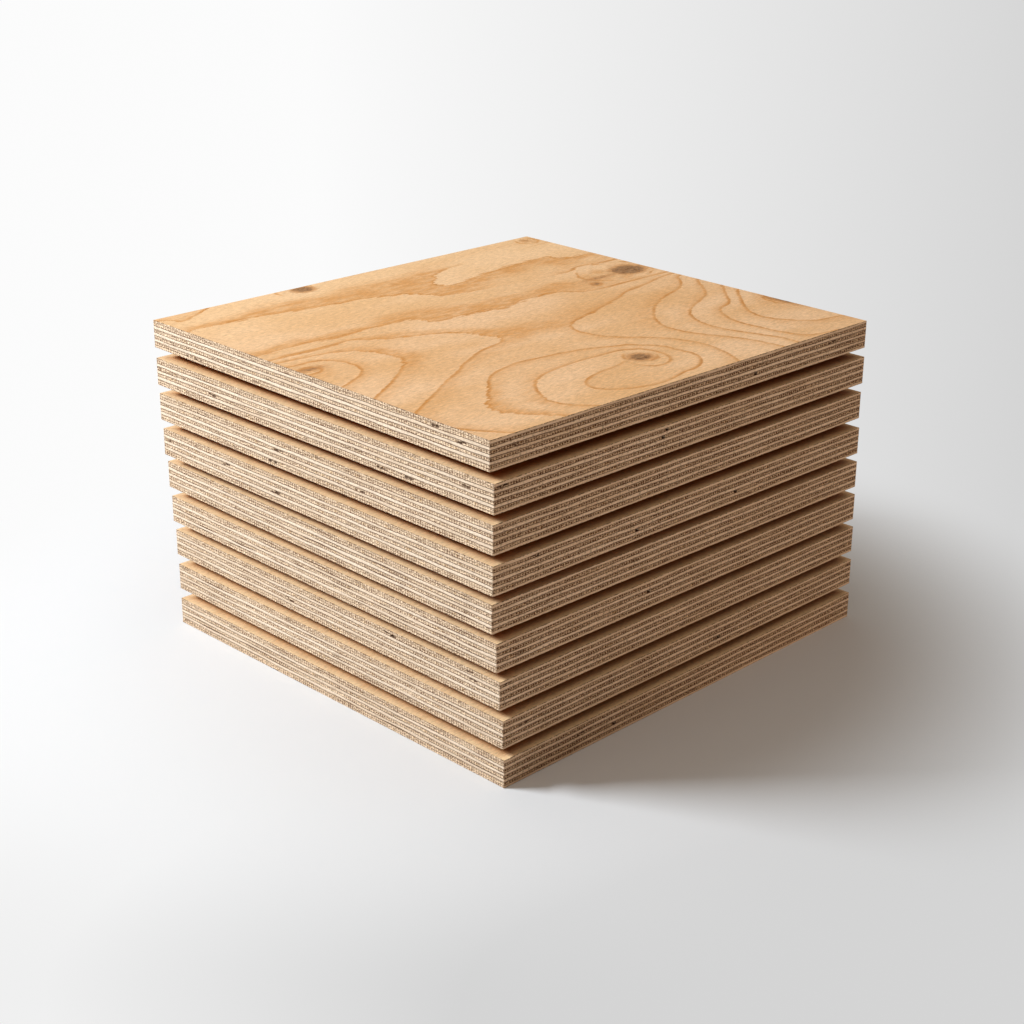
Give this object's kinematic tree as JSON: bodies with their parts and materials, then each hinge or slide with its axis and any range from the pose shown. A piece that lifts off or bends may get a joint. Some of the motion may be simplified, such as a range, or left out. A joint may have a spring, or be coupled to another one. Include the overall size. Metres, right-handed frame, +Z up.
{
  "type": "stack of plywood sheets",
  "caption": "Stack of square-cut plywood sheets, each a little out of line, held apart by hidden spacer battens so that an even gap shows between them.",
  "frame": {"origin": "centre of the stack's footprint on the floor, under the bottom sheet", "axes": "+Z up through the stack, +Y along the face grain and the sheets' length, +X across it"},
  "size_m": [0.3156, 0.3454, 0.214],
  "materials": {
    "face_veneer": "sanded rotary-cut softwood veneer, unfinished",
    "cross_plies": "saw-cut, dark and dotted, with core gaps",
    "long_plies": "saw-cut, pale",
    "back_veneer": "sanded rotary-cut softwood veneer, unfinished",
    "battens": "sawn softwood"
  },
  "bodies": {
    "root": {"sheet_1_face_veneer": "face_veneer", "sheet_1_cross_plies": "cross_plies", "sheet_1_long_plies": "long_plies", "sheet_1_back_veneer": "back_veneer", "sheet_2_face_veneer": "face_veneer", "sheet_2_cross_plies": "cross_plies", "sheet_2_long_plies": "long_plies", "sheet_2_back_veneer": "back_veneer", "sheet_3_face_veneer": "face_veneer", "sheet_3_cross_plies": "cross_plies", "sheet_3_long_plies": "long_plies", "sheet_3_back_veneer": "back_veneer", "sheet_4_face_veneer": "face_veneer", "sheet_4_cross_plies": "cross_plies", "sheet_4_long_plies": "long_plies", "sheet_4_back_veneer": "back_veneer", "sheet_5_face_veneer": "face_veneer", "sheet_5_cross_plies": "cross_plies", "sheet_5_long_plies": "long_plies", "sheet_5_back_veneer": "back_veneer", "sheet_6_face_veneer": "face_veneer", "sheet_6_cross_plies": "cross_plies", "sheet_6_long_plies": "long_plies", "sheet_6_back_veneer": "back_veneer", "sheet_7_face_veneer": "face_veneer", "sheet_7_cross_plies": "cross_plies", "sheet_7_long_plies": "long_plies", "sheet_7_back_veneer": "back_veneer", "sheet_8_face_veneer": "face_veneer", "sheet_8_cross_plies": "cross_plies", "sheet_8_long_plies": "long_plies", "sheet_8_back_veneer": "back_veneer", "sheet_9_face_veneer": "face_veneer", "sheet_9_cross_plies": "cross_plies", "sheet_9_long_plies": "long_plies", "sheet_9_back_veneer": "back_veneer", "battens_on_sheet_2": "battens", "battens_on_sheet_3": "battens", "battens_on_sheet_4": "battens", "battens_on_sheet_5": "battens", "battens_on_sheet_6": "battens", "battens_on_sheet_7": "battens", "battens_on_sheet_8": "battens", "battens_on_sheet_9": "battens"}
  },
  "joints": []
}
